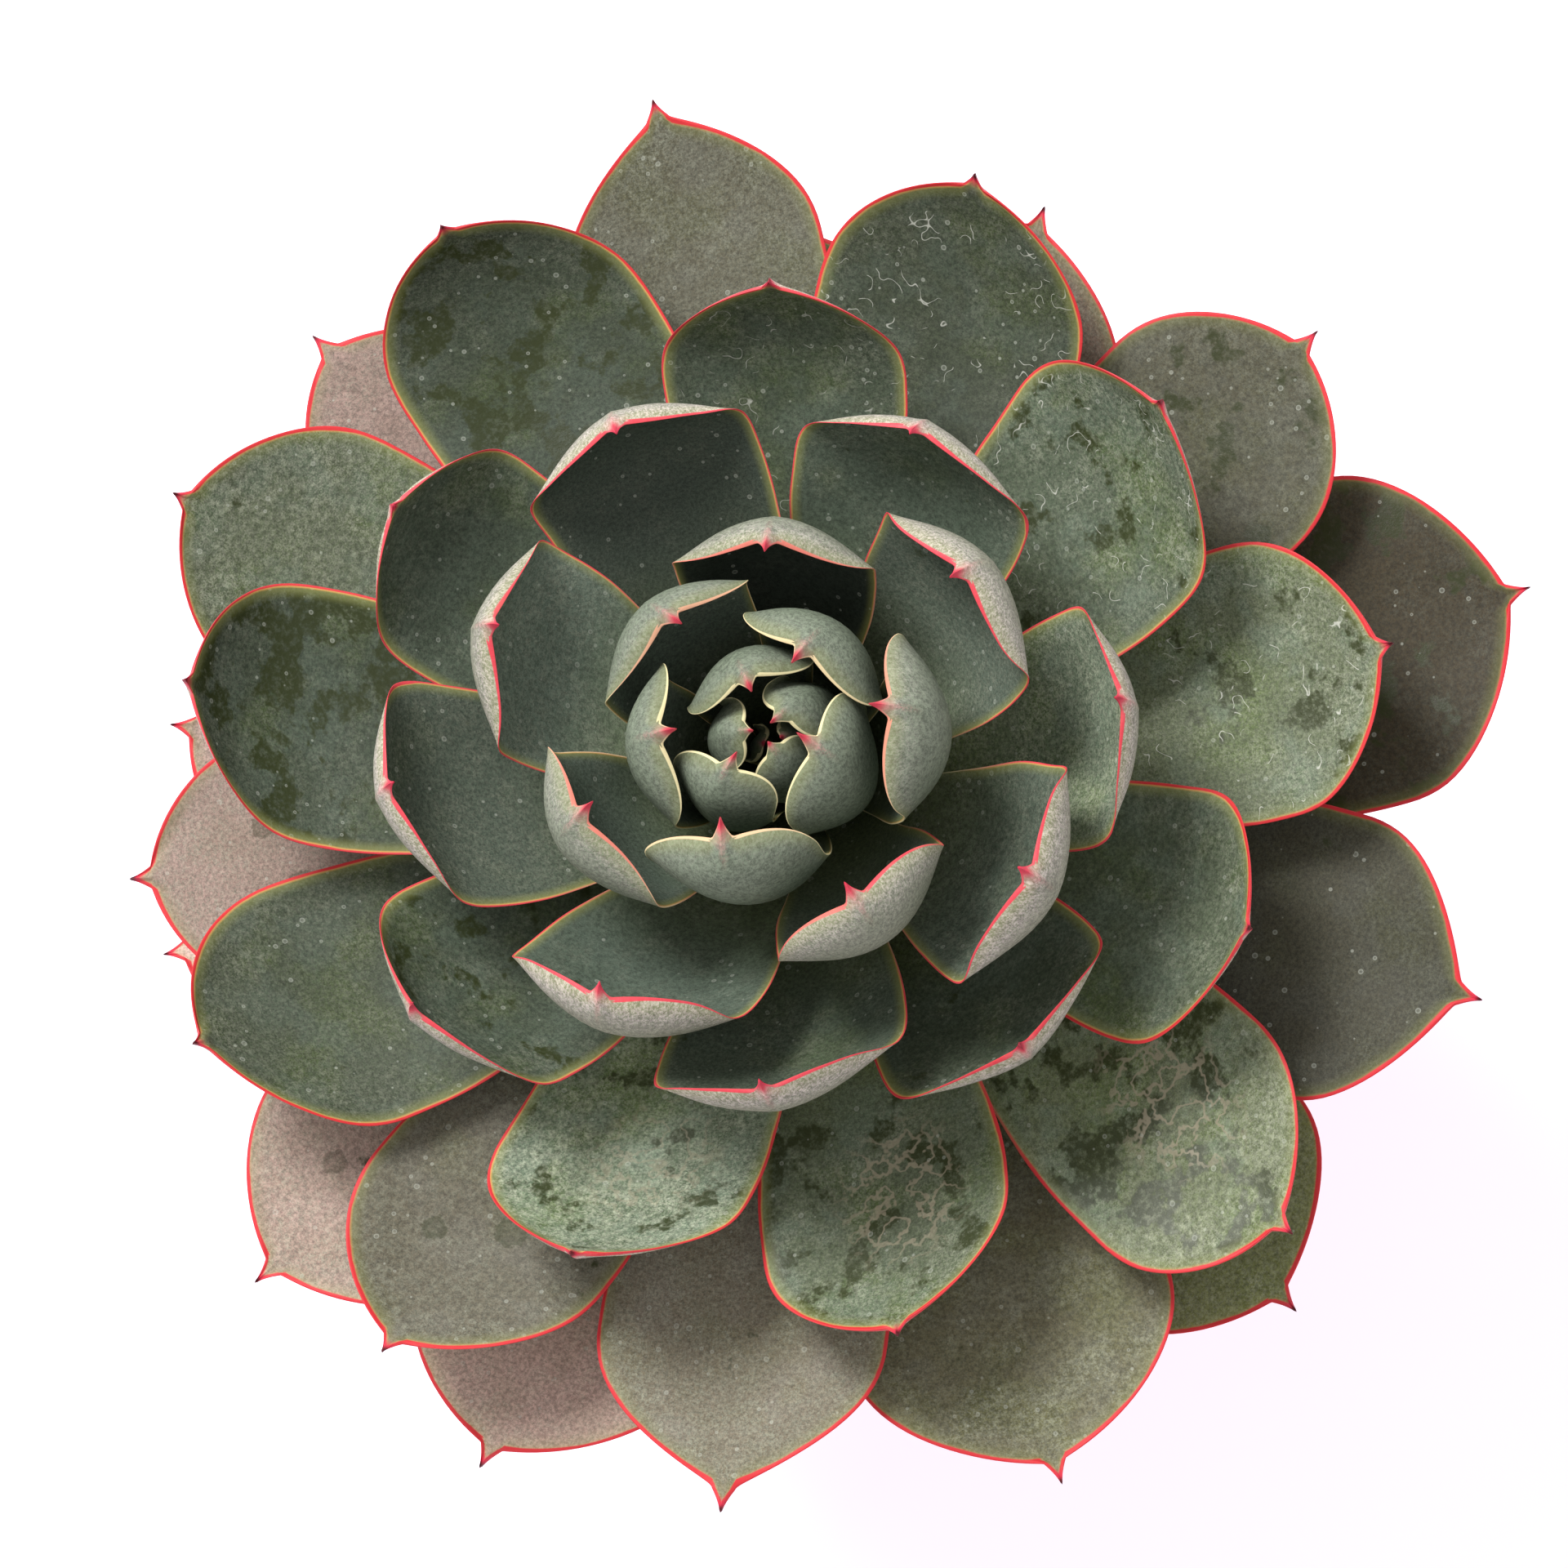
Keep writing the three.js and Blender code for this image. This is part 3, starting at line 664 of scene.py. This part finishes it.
    # the margin: a line of cream in the heart and of red outside it, orange and then yellowish inside it
    marginFade = g.ease(s, 0.3, 0.62)
    redOut = g.ease(place + 0.1 * (cloud - 0.5), 0.17, 0.26)
    nearTip = 1 - g.ease(tipWay, 3, 9)
    marginColour = g.mix(g.ease(place, 0.4, 0.6), c["marginMiddle"], c["marginOuter"])
    redShare = g.math("MAXIMUM", redOut, nearTip * g.ease(place, 0.1, 0.22) * 0.8)
    marginColour = g.mix(redShare, c["marginInner"], marginColour)
    marginColour = g.mix(marginFade, c["marginFoot"], marginColour)
    width = c["innerMargin"] + (c["outerMargin"] - c["innerMargin"]) * g.ease(place, 0.35, 0.75)
    width = width * (0.55 + 0.45 * marginFade) * (0.8 + 0.8 * (g.noise(blade, 0.25, 2) - 0.3))
    width = width * (0.3 + 0.7 * upper)
    glow = (1 - g.ease(edge, width, width + 1.7)) * g.ease(s, 0.25, 0.5)
    colour = g.mix(glow * (0.5 - 0.3 * low) * (0.6 + 0.4 * upper), colour, c["glow"])
    orange = (1 - g.ease(edge, width * 1.1, width * 1.1 + 0.3)) * upper * (1 - 0.75 * low) * marginFade
    colour = g.mix(orange * 0.75, colour, c["orangeLine"])
    line = 1 - g.ease(edge, width * 0.85, width * 1.15 + 0.04)
    colour = g.mix(line * 0.95, colour, marginColour)

    # the tooth, and the soft streak down the keel behind it
    toothSize = 0.4 + 0.6 * g.ease(place, 0.02, 0.09)
    tipAway = g.math("SQRT", tipWay * tipWay + across * across * 0.8) / toothSize
    blush = (1 - g.ease(tipAway + (coarse - 0.5) * 2, 0.8, 3.2)) * (0.15 + 0.85 * back)
    colour = g.mix(blush * 0.45, colour, c["tipPink"])
    keel = (1 - g.ease(across + coarse * 0.6, 0.3, 0.9)) * (1 - g.ease(tipAway, 1.2, 5.5)) * back
    colour = g.mix(keel * (0.06 + 0.34 * g.ease(grain, 0.4, 0.6)), colour, c["tipPink"])
    crimson = 1 - g.ease(tipAway, 0.7, 1.9)
    colour = g.mix(crimson * 0.9, colour, c["tipCrimson"])
    dark = (1 - g.ease(tipAway, 0.35, 1)) * g.ease(place, 0.35, 0.6)
    colour = g.mix(dark * 0.9, colour, c["tipBrown"])

    roughness = 0.6 + 0.1 * dust - 0.22 * rubbed - 0.1 * line
    height = grain * 0.4 + coarse * 0.6
    bump = g.node("ShaderNodeBump", values={"Strength": 0.25, "Distance": 0.2 * mm, "Height": height})
    g.link(colour, shader, "Base Color")
    g.link(roughness, shader, "Roughness")
    g.link(bump, shader, "Normal")
    return material


# How the skins of single leaves differ, by place from the heart out: flushed pink, browned, olive, dusty with
# bloom, rubbed bare in patches, stained, scratched, with rings left by drops, and painted light and shade:
# the upper face lighter or darker where the leaf lies lit or shaded
leafMoods = {
    "Pink": {43: 0.75, 40: 0.75, 45: 0.7, 48: 0.85, 53: 1, 50: 0.75, 46: 0.35, 41: 0.1, 38: 0.15,
             37: 0.2, 42: 0.25, 44: 0.1},
    "Brown": {47: 0.45, 49: 1.3, 46: 0.8, 50: 0.25, 44: 0.15, 41: 0.15},
    "Olive": {52: 0.8, 49: 0.5, 51: 0.3},
    "Dusty": {38: 0.6, 35: 0.45, 42: 0.45, 41: 0.2, 45: 0.3, 37: 0.35, 40: 0.4, 32: 0.2, 29: 0.35, 15: 0.4,
              19: 0.3, 23: 0.35, 14: 0.25, 36: 0.15, 28: 0.2, 39: 0.15, 34: 0.1, 18: 0.3},
    "Rubbed": {30: 0.9, 27: 0.9, 36: 0.6, 28: 0.55, 39: 0.95, 29: 0.6, 34: 0.8, 41: 0.7, 49: 0.7, 24: 0.7},
    "Stained": {39: 1, 34: 0.9, 29: 0.5},
    "Scratched": {28: 1, 36: 1, 33: 0.8, 25: 0.6},
    "Ringed": {37: 1, 40: 0.9, 45: 0.8},
    # painted light and shade: above 0 a leaf's upper face is painted lighter where light falls on it, below 0
    # darker where it lies in shade
    "LightShade": {38: -0.21, 30: -0.22, 33: -0.3, 41: -0.3, 28: 0.45, 36: 0.65, 49: -0.62, 44: -0.5, 31: 0.35,
             39: 0.8, 52: 0.55, 47: 0.45, 34: 0.5, 42: 0.12, 37: -0.14, 45: 0.2, 32: -0.1, 53: 0.6, 27: -0.08,
             35: 0.2, 43: -0.15, 17: -0.4, 14: 0.4, 19: -0.15, 23: 1, 12: -0.7, 29: 1.2, 50: 0.5, 20: 0.1},
}


def growLeaves():
    tree = growLeafTree()
    skin = makeLeafSkin()
    last = len(leafRows) - 1
    pieces = []
    for place, (off, reach, breadth, side, twist) in enumerate(leafRows):
        foot = along("footHeight", place)
        piece = newPiece("leafBlade%02d" % (place + 1))
        pieces.append(growOn(piece, tree, {
            "Reach": float(reach), "Breadth": float(breadth), "Side": float(side),
            "Twist": math.radians(twist), "Foot out": stemRadiusAt(foot) - leafShape["footSunk"],
            "Foot height": foot, "Tip height": along("tipHeight", place),
            "Rise": math.radians(along("footRise", place)),
            "Tip lean": math.radians(along("tipRise", place)),
            "Cup": math.radians(along("cupAngle", place)), "Thickness": along("thickness", place),
            "Margin": along("marginThickness", place), "Tooth": along("toothLength", place),
            "Claw": along("clawDepth", place),
            "Shoulder": along("shoulderPower", place), "Ribs": along("ribDepth", place),
            "Unevenness": along("unevenness", place),
            "Turn": math.radians(plant["spiralStart"] - plant["spiralStep"] * place + off),
            "Seed": place * 0.37 + 0.2, "Place": place / last, "Skin": skin,
            **{mark: float(leafMoods[mark].get(place, 0)) for mark in leafMarks},
        }))
    settle(pieces)
    for place, piece in enumerate(pieces):
        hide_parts("leaf_%02d" % (place + 1))
        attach(piece, "root")
    print("leaves grown:", len(pieces), "with", sum(len(p.data.polygons) for p in pieces), "faces")
    return tree, skin


leafTree, leafMaterial = growLeaves()


# The heart: the last small leaves, still folded

heart = {
    "foot": 113.6,
    # turn, reach, breadth and height of the tip
    "rows": [(35, 1.1, 5, 127), (160, 0.9, 4.6, 126), (275, 0.9, 4.2, 125)],
}


def growHeart():
    parts = []
    for index, (turn, reach, breadth, top) in enumerate(heart["rows"]):
        part = newPiece("heartLeaf%d" % index)
        parts.append(growOn(part, leafTree, {
            "Reach": reach, "Breadth": float(breadth), "Side": 0.0, "Twist": 0.0, "Foot out": 0.5,
            "Foot height": heart["foot"] - 1, "Tip height": float(top), "Rise": math.radians(60),
            "Tip lean": math.radians(125), "Cup": math.radians(60), "Thickness": 1.1, "Margin": 0.4,
            "Tooth": 1.0, "Claw": 0.0, "Shoulder": 0.6, "Ribs": 0.0, "Unevenness": 0.0,
            "Turn": math.radians(turn), "Seed": 30.0 + index, "Place": 0.0, "Skin": leafMaterial,
            **dict.fromkeys(leafMarks, 0.0),
        }))
    settle(parts)
    with bpy.context.temp_override(active_object=parts[0], selected_editable_objects=parts):
        bpy.ops.object.join()
    piece = parts[0]
    piece.name = "heartLeaves"
    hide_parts("heart")
    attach(piece, "root")
    print("heart grown")


growHeart()


# The stem, with the scars of fallen leaves

stem = {
    "sides": 72,
    "steps": 90,
    "endDome": 0.5,
    "scarSwell": 0.0583,
    "scarTurns": 5,
    "scarRows": 1.3,
    "cork": paint(122, 104, 78),
    "youngBark": paint(140, 146, 104),
    "darkBark": paint(92, 74, 54),
    "paleBands": paint(176, 164, 134),
}


def stemMaterial():
    material, g, shader = newMaterial("corkyStem", {"Specular IOR Level": 0.3})
    place = g.node("ShaderNodeTexCoord", out="Object")
    bark = g.noise(place, 260, 5, 0.6)
    bands = g.noise(g.vectorMath("MULTIPLY", place, (60, 60, 420)), 1, 3)
    height = g.split(place)[2]
    green = g.ease(height, 78 * mm, 100 * mm)
    colour = g.mix(green, stem["cork"], stem["youngBark"])
    colour = g.mix(g.ease(bark, 0.4, 0.7) * 0.6, colour, stem["darkBark"])
    colour = g.mix(g.ease(bands, 0.55, 0.75) * 0.5, colour, stem["paleBands"])
    bump = g.node("ShaderNodeBump", values={"Strength": 0.5, "Distance": 0.4 * mm, "Height": bark + bands})
    g.link(colour, shader, "Base Color")
    g.link(0.7 + 0.2 * bark, shader, "Roughness")
    g.link(bump, shader, "Normal")
    return material


def makeStem():
    heights = np.linspace(plant["stemFoot"], plant["stemTop"], stem["steps"])
    profile = [(0, heights[0] - stem["endDome"])] + [(stemRadiusAt(z), z) for z in heights]
    profile.append((0, heights[-1] + stem["endDome"]))
    mesh = turnedMesh("stemBody", profile, stem["sides"])
    for vertex in mesh.vertices:
        x, y, z = vertex.co / mm
        angle = math.atan2(y, x)
        scar = math.sin(angle * stem["scarTurns"] + z * 0.9)
        scar *= math.sin(z * stem["scarRows"] - angle * 2)
        swell = 1 + stem["scarSwell"] * max(0, scar) ** 2
        vertex.co.x *= swell
        vertex.co.y *= swell
    mesh.transform(lean)
    piece = newPiece("stemBody", mesh)
    mesh.materials.append(stemMaterial())
    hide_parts("stem")
    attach(piece, "root")
    print("stem made")


makeStem()


# The pot: plain fired clay, with a rim

pot = {
    "height": 76,
    "rimRadius": 48,
    "rimHeight": 14,
    "rimStep": 2.4,
    "rimThickness": 5,
    "rimDraft": 0.6,
    "rimFootRadius": 0.8,
    "footRadius": 33,
    "wall": 4,
    "floorThickness": 6,
    "floorCorner": 3,
    "cornerRadius": 1.2,
    "lipRadius": 1.5,
    "sides": 160,
    "clayDark": paint(150, 80, 52),
    "clayPale": paint(172, 100, 70),
    "clayPores": paint(120, 62, 42),
    "lime": paint(214, 196, 178),
}


# Points of a rounded corner about its centre, from one direction to the other
def arc(centre, radius, startDegrees, endDegrees, count=6):
    angles = np.radians(np.linspace(startDegrees, endDegrees, count))
    return [(centre[0] + radius * math.cos(a), centre[1] + radius * math.sin(a)) for a in angles]


def clayMaterial():
    material, g, shader = newMaterial("firedClay", {"Specular IOR Level": 0.3})
    place = g.node("ShaderNodeTexCoord", out="Object")
    height = g.split(place)[2]
    cloud = g.noise(place, 32, 4, 0.55)
    pores = g.noise(place, 1500, 3, 0.6)
    throwing = g.noise(g.vectorMath("MULTIPLY", place, (14, 14, 900)), 1, 3, 0.6)
    lime = g.noise(place, 90, 6, 0.68, 0.6)
    colour = g.mix(cloud, pot["clayDark"], pot["clayPale"])
    colour = g.mix(g.ease(pores, 0.55, 0.75) * 0.35, colour, pot["clayPores"])

    # lime comes out in patches, most of all near the foot and the rim
    nearFoot = 1 - g.ease(height, 4 * mm, 30 * mm)
    nearRim = g.ease(height, 60 * mm, 76 * mm)
    limed = g.ease(lime + nearFoot * 0.14 + nearRim * 0.08, 0.6, 0.74)
    colour = g.mix(limed * 0.3, colour, pot["lime"])
    bump = g.node("ShaderNodeBump", values={"Strength": 0.35, "Distance": 0.4 * mm,
                                            "Height": throwing * 0.8 + pores * 0.35 + limed * 0.2})
    g.link(colour, shader, "Base Color")
    g.link(0.8 + 0.12 * limed, shader, "Roughness")
    g.link(bump, shader, "Normal")
    return material


# The radius of the pot's hollow at a height
def potInside(z):
    under = pot["height"] - pot["rimHeight"]
    rimInside = pot["rimRadius"] - pot["rimThickness"]
    if z >= under:
        return rimInside - pot["rimDraft"] * (1 - (z - under) / pot["rimHeight"])
    bodyTop = pot["rimRadius"] - pot["rimStep"]
    low = pot["footRadius"] + (bodyTop - pot["footRadius"]) * pot["floorThickness"] / under - pot["wall"]
    share = (z - pot["floorThickness"]) / (under - pot["floorThickness"])
    return low + (rimInside - pot["rimDraft"] - low) * share


def makePot():
    top, rim, lip, corner = pot["height"], pot["rimRadius"], pot["lipRadius"], pot["cornerRadius"]
    foot, floor, bead = pot["footRadius"], pot["floorThickness"], pot["rimFootRadius"]
    under = top - pot["rimHeight"]
    bodyTop = rim - pot["rimStep"]
    profile = [(0, 0), (foot - corner, 0)]
    profile += arc((foot - corner, corner), corner, -90, -10)[1:]
    for share in (0.1, 0.35, 0.6, 0.85):
        profile.append((foot + (bodyTop - foot) * share, under * share))
    profile += [(bodyTop - 0.3, under - 1.6), (bodyTop - 0.1, under - 0.5), (bodyTop + 0.35, under)]
    profile += arc((rim - bead, under + bead), bead, -90, 0)
    profile += [(rim, under + pot["rimHeight"] / 2)]
    profile += arc((rim - lip, top - lip), lip, 0, 90, 8)
    inner = rim - pot["rimThickness"]
    profile += arc((inner + corner, top - corner), corner, 90, 180)
    profile += [(potInside(z), z) for z in (under + 6, under, 40, 20, 9)]
    profile += [(potInside(floor) - pot["floorCorner"], floor), (0, floor)]
    piece = newPiece("clayPot", turnedMesh("clayPot", profile, pot["sides"]))
    piece.data.materials.append(clayMaterial())
    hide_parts("pot")
    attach(piece, "root")
    print("pot made")


makePot()


# The soil: crumbs and grit on a rough surface

soil = {
    "gap": 0.25,
    "footLift": 0.3,
    "footGap": 0.4,
    "edgeDrop": 0.6,
    "surfaceDepth": 2,
    "relief": 0.7,
    "settling": 0.3,
    "rings": 26,
    "sides": 110,
    # how many a square millimetre
    "crumbDensity": 0.2,
    "gritDensity": 0.02,
    "crumbSize": 1.3,
    "gritSize": 1.5,
    "smallest": 0.4,
    "largest": 1.5,
    "damp": (paint(40, 28, 20), paint(84, 62, 44)),
    "crumbs": (paint(52, 36, 24), paint(110, 82, 56)),
    "grit": (paint(190, 184, 172), paint(232, 228, 220)),
}


def soilMaterial(name, colours, scale):
    material, g, shader = newMaterial(name, {"Specular IOR Level": 0.2})
    place = g.node("ShaderNodeTexCoord", out="Object")
    cloud = g.noise(place, scale, 5, 0.65)
    fine = g.noise(place, scale * 8, 3, 0.6)
    colour = g.mix(g.ease(cloud, 0.3, 0.7), *colours)
    bump = g.node("ShaderNodeBump",
                  values={"Strength": 0.7, "Distance": 0.5 * mm, "Height": cloud + fine * 0.5})
    g.link(colour, shader, "Base Color")
    g.link(0.85 + 0.1 * fine, shader, "Roughness")
    g.link(bump, shader, "Normal")
    return material


def growSoilTree():
    floats = ["Crumb density", "Grit density", "Crumb size", "Grit size"]
    tree, g, given = newGeometryTree("soilCrumbs", floats, ["Crumb", "Grit"])
    ground = given["Geometry"]
    _, _, z = g.split(g.node("GeometryNodeInputNormal"))
    _, _, height = g.split(g.node("GeometryNodeInputPosition"))
    isTop = g.math("MINIMUM", z > 0.5, height > (plant["soilLevel"] - 8) * mm)
    layers = [ground]
    for label, seed, flatness in (("Crumb", 7, 0.75), ("Grit", 19, 0.9)):
        points = g.node("GeometryNodeDistributePointsOnFaces",
                        values={"Mesh": ground, "Selection": isTop,
                                "Density": given[label + " density"] * 1e6, "Seed": seed})
        ball = g.node("GeometryNodeMeshIcoSphere", values={"Radius": 0.5 * mm, "Subdivisions": 2})
        rough = (g.noise(g.node("GeometryNodeInputPosition"), 1400, 2) - 0.5) * 0.5 * mm
        offset = g.scaled(g.node("GeometryNodeInputNormal"), rough)
        lumpy = g.node("GeometryNodeSetPosition", values={"Geometry": ball, "Offset": offset})
        turn = g.node("FunctionNodeRandomValue", {"data_type": "FLOAT_VECTOR"},
                      {"Min": (0, 0, 0), "Max": (6.28, 6.28, 6.28), "Seed": seed + 1})
        spread = {2: soil["smallest"], 3: soil["largest"], "Seed": seed + 2}
        size = g.node("FunctionNodeRandomValue", {"data_type": "FLOAT"}, spread, out=1)
        size = size * given[label + " size"]
        placed = g.node("GeometryNodeInstanceOnPoints",
                        values={"Points": points, "Instance": lumpy, "Rotation": turn,
                                "Scale": g.join(size, size * flatness, size * 0.8)})
        real = g.node("GeometryNodeRealizeInstances", values={"Geometry": placed})
        coated = {"Geometry": real, "Material": given[label]}
        layers.append(g.node("GeometryNodeSetMaterial", values=coated))
    joined = g.node("GeometryNodeJoinGeometry")
    for layer in reversed(layers):
        g.link(layer, joined.node, 0)
    g.node("NodeGroupOutput", values={"Geometry": joined})
    return tree


def makeSoil():
    level = plant["soilLevel"]
    edge = potInside(level) - soil["gap"]
    foot = pot["floorThickness"] + soil["footLift"]
    footRadius = potInside(pot["floorThickness"]) - pot["floorCorner"] - soil["footGap"]
    profile = [(0, foot), (footRadius, foot)]
    profile += [(potInside(z) - soil["gap"], z) for z in (10, 30, 50, 62, 66)]
    for share in np.linspace(1, 0, soil["rings"])[:-1]:
        profile.append((edge * share, level - soil["edgeDrop"] * share ** 8))
    profile.append((0, level))
    mesh = turnedMesh("pottingSoil", profile, soil["sides"])
    for vertex in mesh.vertices:
        x, y, z = vertex.co / mm
        if z > level - soil["surfaceDepth"]:
            swell = math.sin(x / 5 + 0.7) * math.cos(y / 5 - 0.4) * 2 + math.sin((x - y) / 2.2)
            vertex.co.z += (soil["relief"] * swell / 3 - soil["settling"]) * mm
    piece = newPiece("pottingSoil", mesh)
    mesh.materials.append(soilMaterial("dampSoil", soil["damp"], 600))
    crumb = soilMaterial("soilCrumb", soil["crumbs"], 420)
    grit = soilMaterial("paleGrit", soil["grit"], 300)
    growOn(piece, growSoilTree(), {
        "Crumb density": soil["crumbDensity"], "Grit density": soil["gritDensity"],
        "Crumb size": soil["crumbSize"], "Grit size": soil["gritSize"], "Crumb": crumb, "Grit": grit,
    })
    settle([piece])
    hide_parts("soil")
    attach(piece, "root")
    print("soil made:", len(piece.data.polygons), "faces")


makeSoil()


# Floor, light and camera

studio = {
    "floorSize": 6,
    "floorColour": (0.8, 0.76, 0.82, 1),
    "floorGlowColour": (1, 0.87, 1.04, 1),
    "floorGlow": 0.6,
    "worldColour": (1, 0.985, 1, 1),
    "worldStrength": 0.72,
    "keyPlace": (-0.55, 0.65, 1.15),
    "keySize": 0.5,
    "keyPower": 20,
    "aim": (0, 0, 0.1),
    "tilt": 12.5,
    "towards": -62,
    "distance": 650,
    "ringCentre": (0, 0, 96),
    "shiftRight": -4.035,
    "shiftUp": 1.579,
    "lens": 138.9,
}


def makeFloor():
    side = studio["floorSize"] / 2
    mesh = bpy.data.meshes.new("floor")
    corners = [(-side, -side, 0), (side, -side, 0), (side, side, 0), (-side, side, 0)]
    mesh.from_pydata(corners, [], [(0, 1, 2, 3)])
    floor = newPiece("floor", mesh)
    material, g, shader = newMaterial("paleFloor", {"Roughness": 0.8, "Specular IOR Level": 0.1})
    shader.inputs["Base Color"].default_value = studio["floorColour"]
    shader.inputs["Emission Color"].default_value = studio["floorGlowColour"]
    shader.inputs["Emission Strength"].default_value = studio["floorGlow"]
    mesh.materials.append(material)


def makeLights():
    world = bpy.data.worlds.new("softRoom")
    world.use_nodes = True
    background = world.node_tree.nodes["Background"]
    background.inputs["Color"].default_value = studio["worldColour"]
    background.inputs["Strength"].default_value = studio["worldStrength"]
    bpy.context.scene.world = world
    light = bpy.data.lights.new("keyLight", "AREA")
    light.size = studio["keySize"]
    light.energy = studio["keyPower"]
    key = bpy.data.objects.new("keyLight", light)
    key.location = studio["keyPlace"]
    key.rotation_euler = (Vector(studio["aim"]) - key.location).to_track_quat("-Z", "Y").to_euler()
    bpy.context.scene.collection.objects.link(key)


def makeCamera():
    tilt, towards = math.radians(studio["tilt"]), math.radians(studio["towards"])
    back = Vector((math.sin(tilt) * math.cos(towards), math.sin(tilt) * math.sin(towards), math.cos(tilt)))
    up = Vector((0, 1, 0))
    up = (up - back * up.dot(back)).normalized()
    right = up.cross(back)
    centre = lean @ (Vector(studio["ringCentre"]) * mm)
    data = bpy.data.cameras.new("photoCamera")
    data.lens = studio["lens"]
    data.sensor_width = 36
    camera = bpy.data.objects.new("photoCamera", data)
    offset = right * studio["shiftRight"] + up * studio["shiftUp"] + back * studio["distance"]
    place = centre + offset * mm
    camera.matrix_world = Matrix.Translation(place) @ Matrix((right, up, back)).transposed().to_4x4()
    bpy.context.scene.collection.objects.link(camera)
    bpy.context.scene.camera = camera


makeFloor()
makeLights()
makeCamera()
bpy.context.scene.view_settings.view_transform = "Standard"
print("stage set")
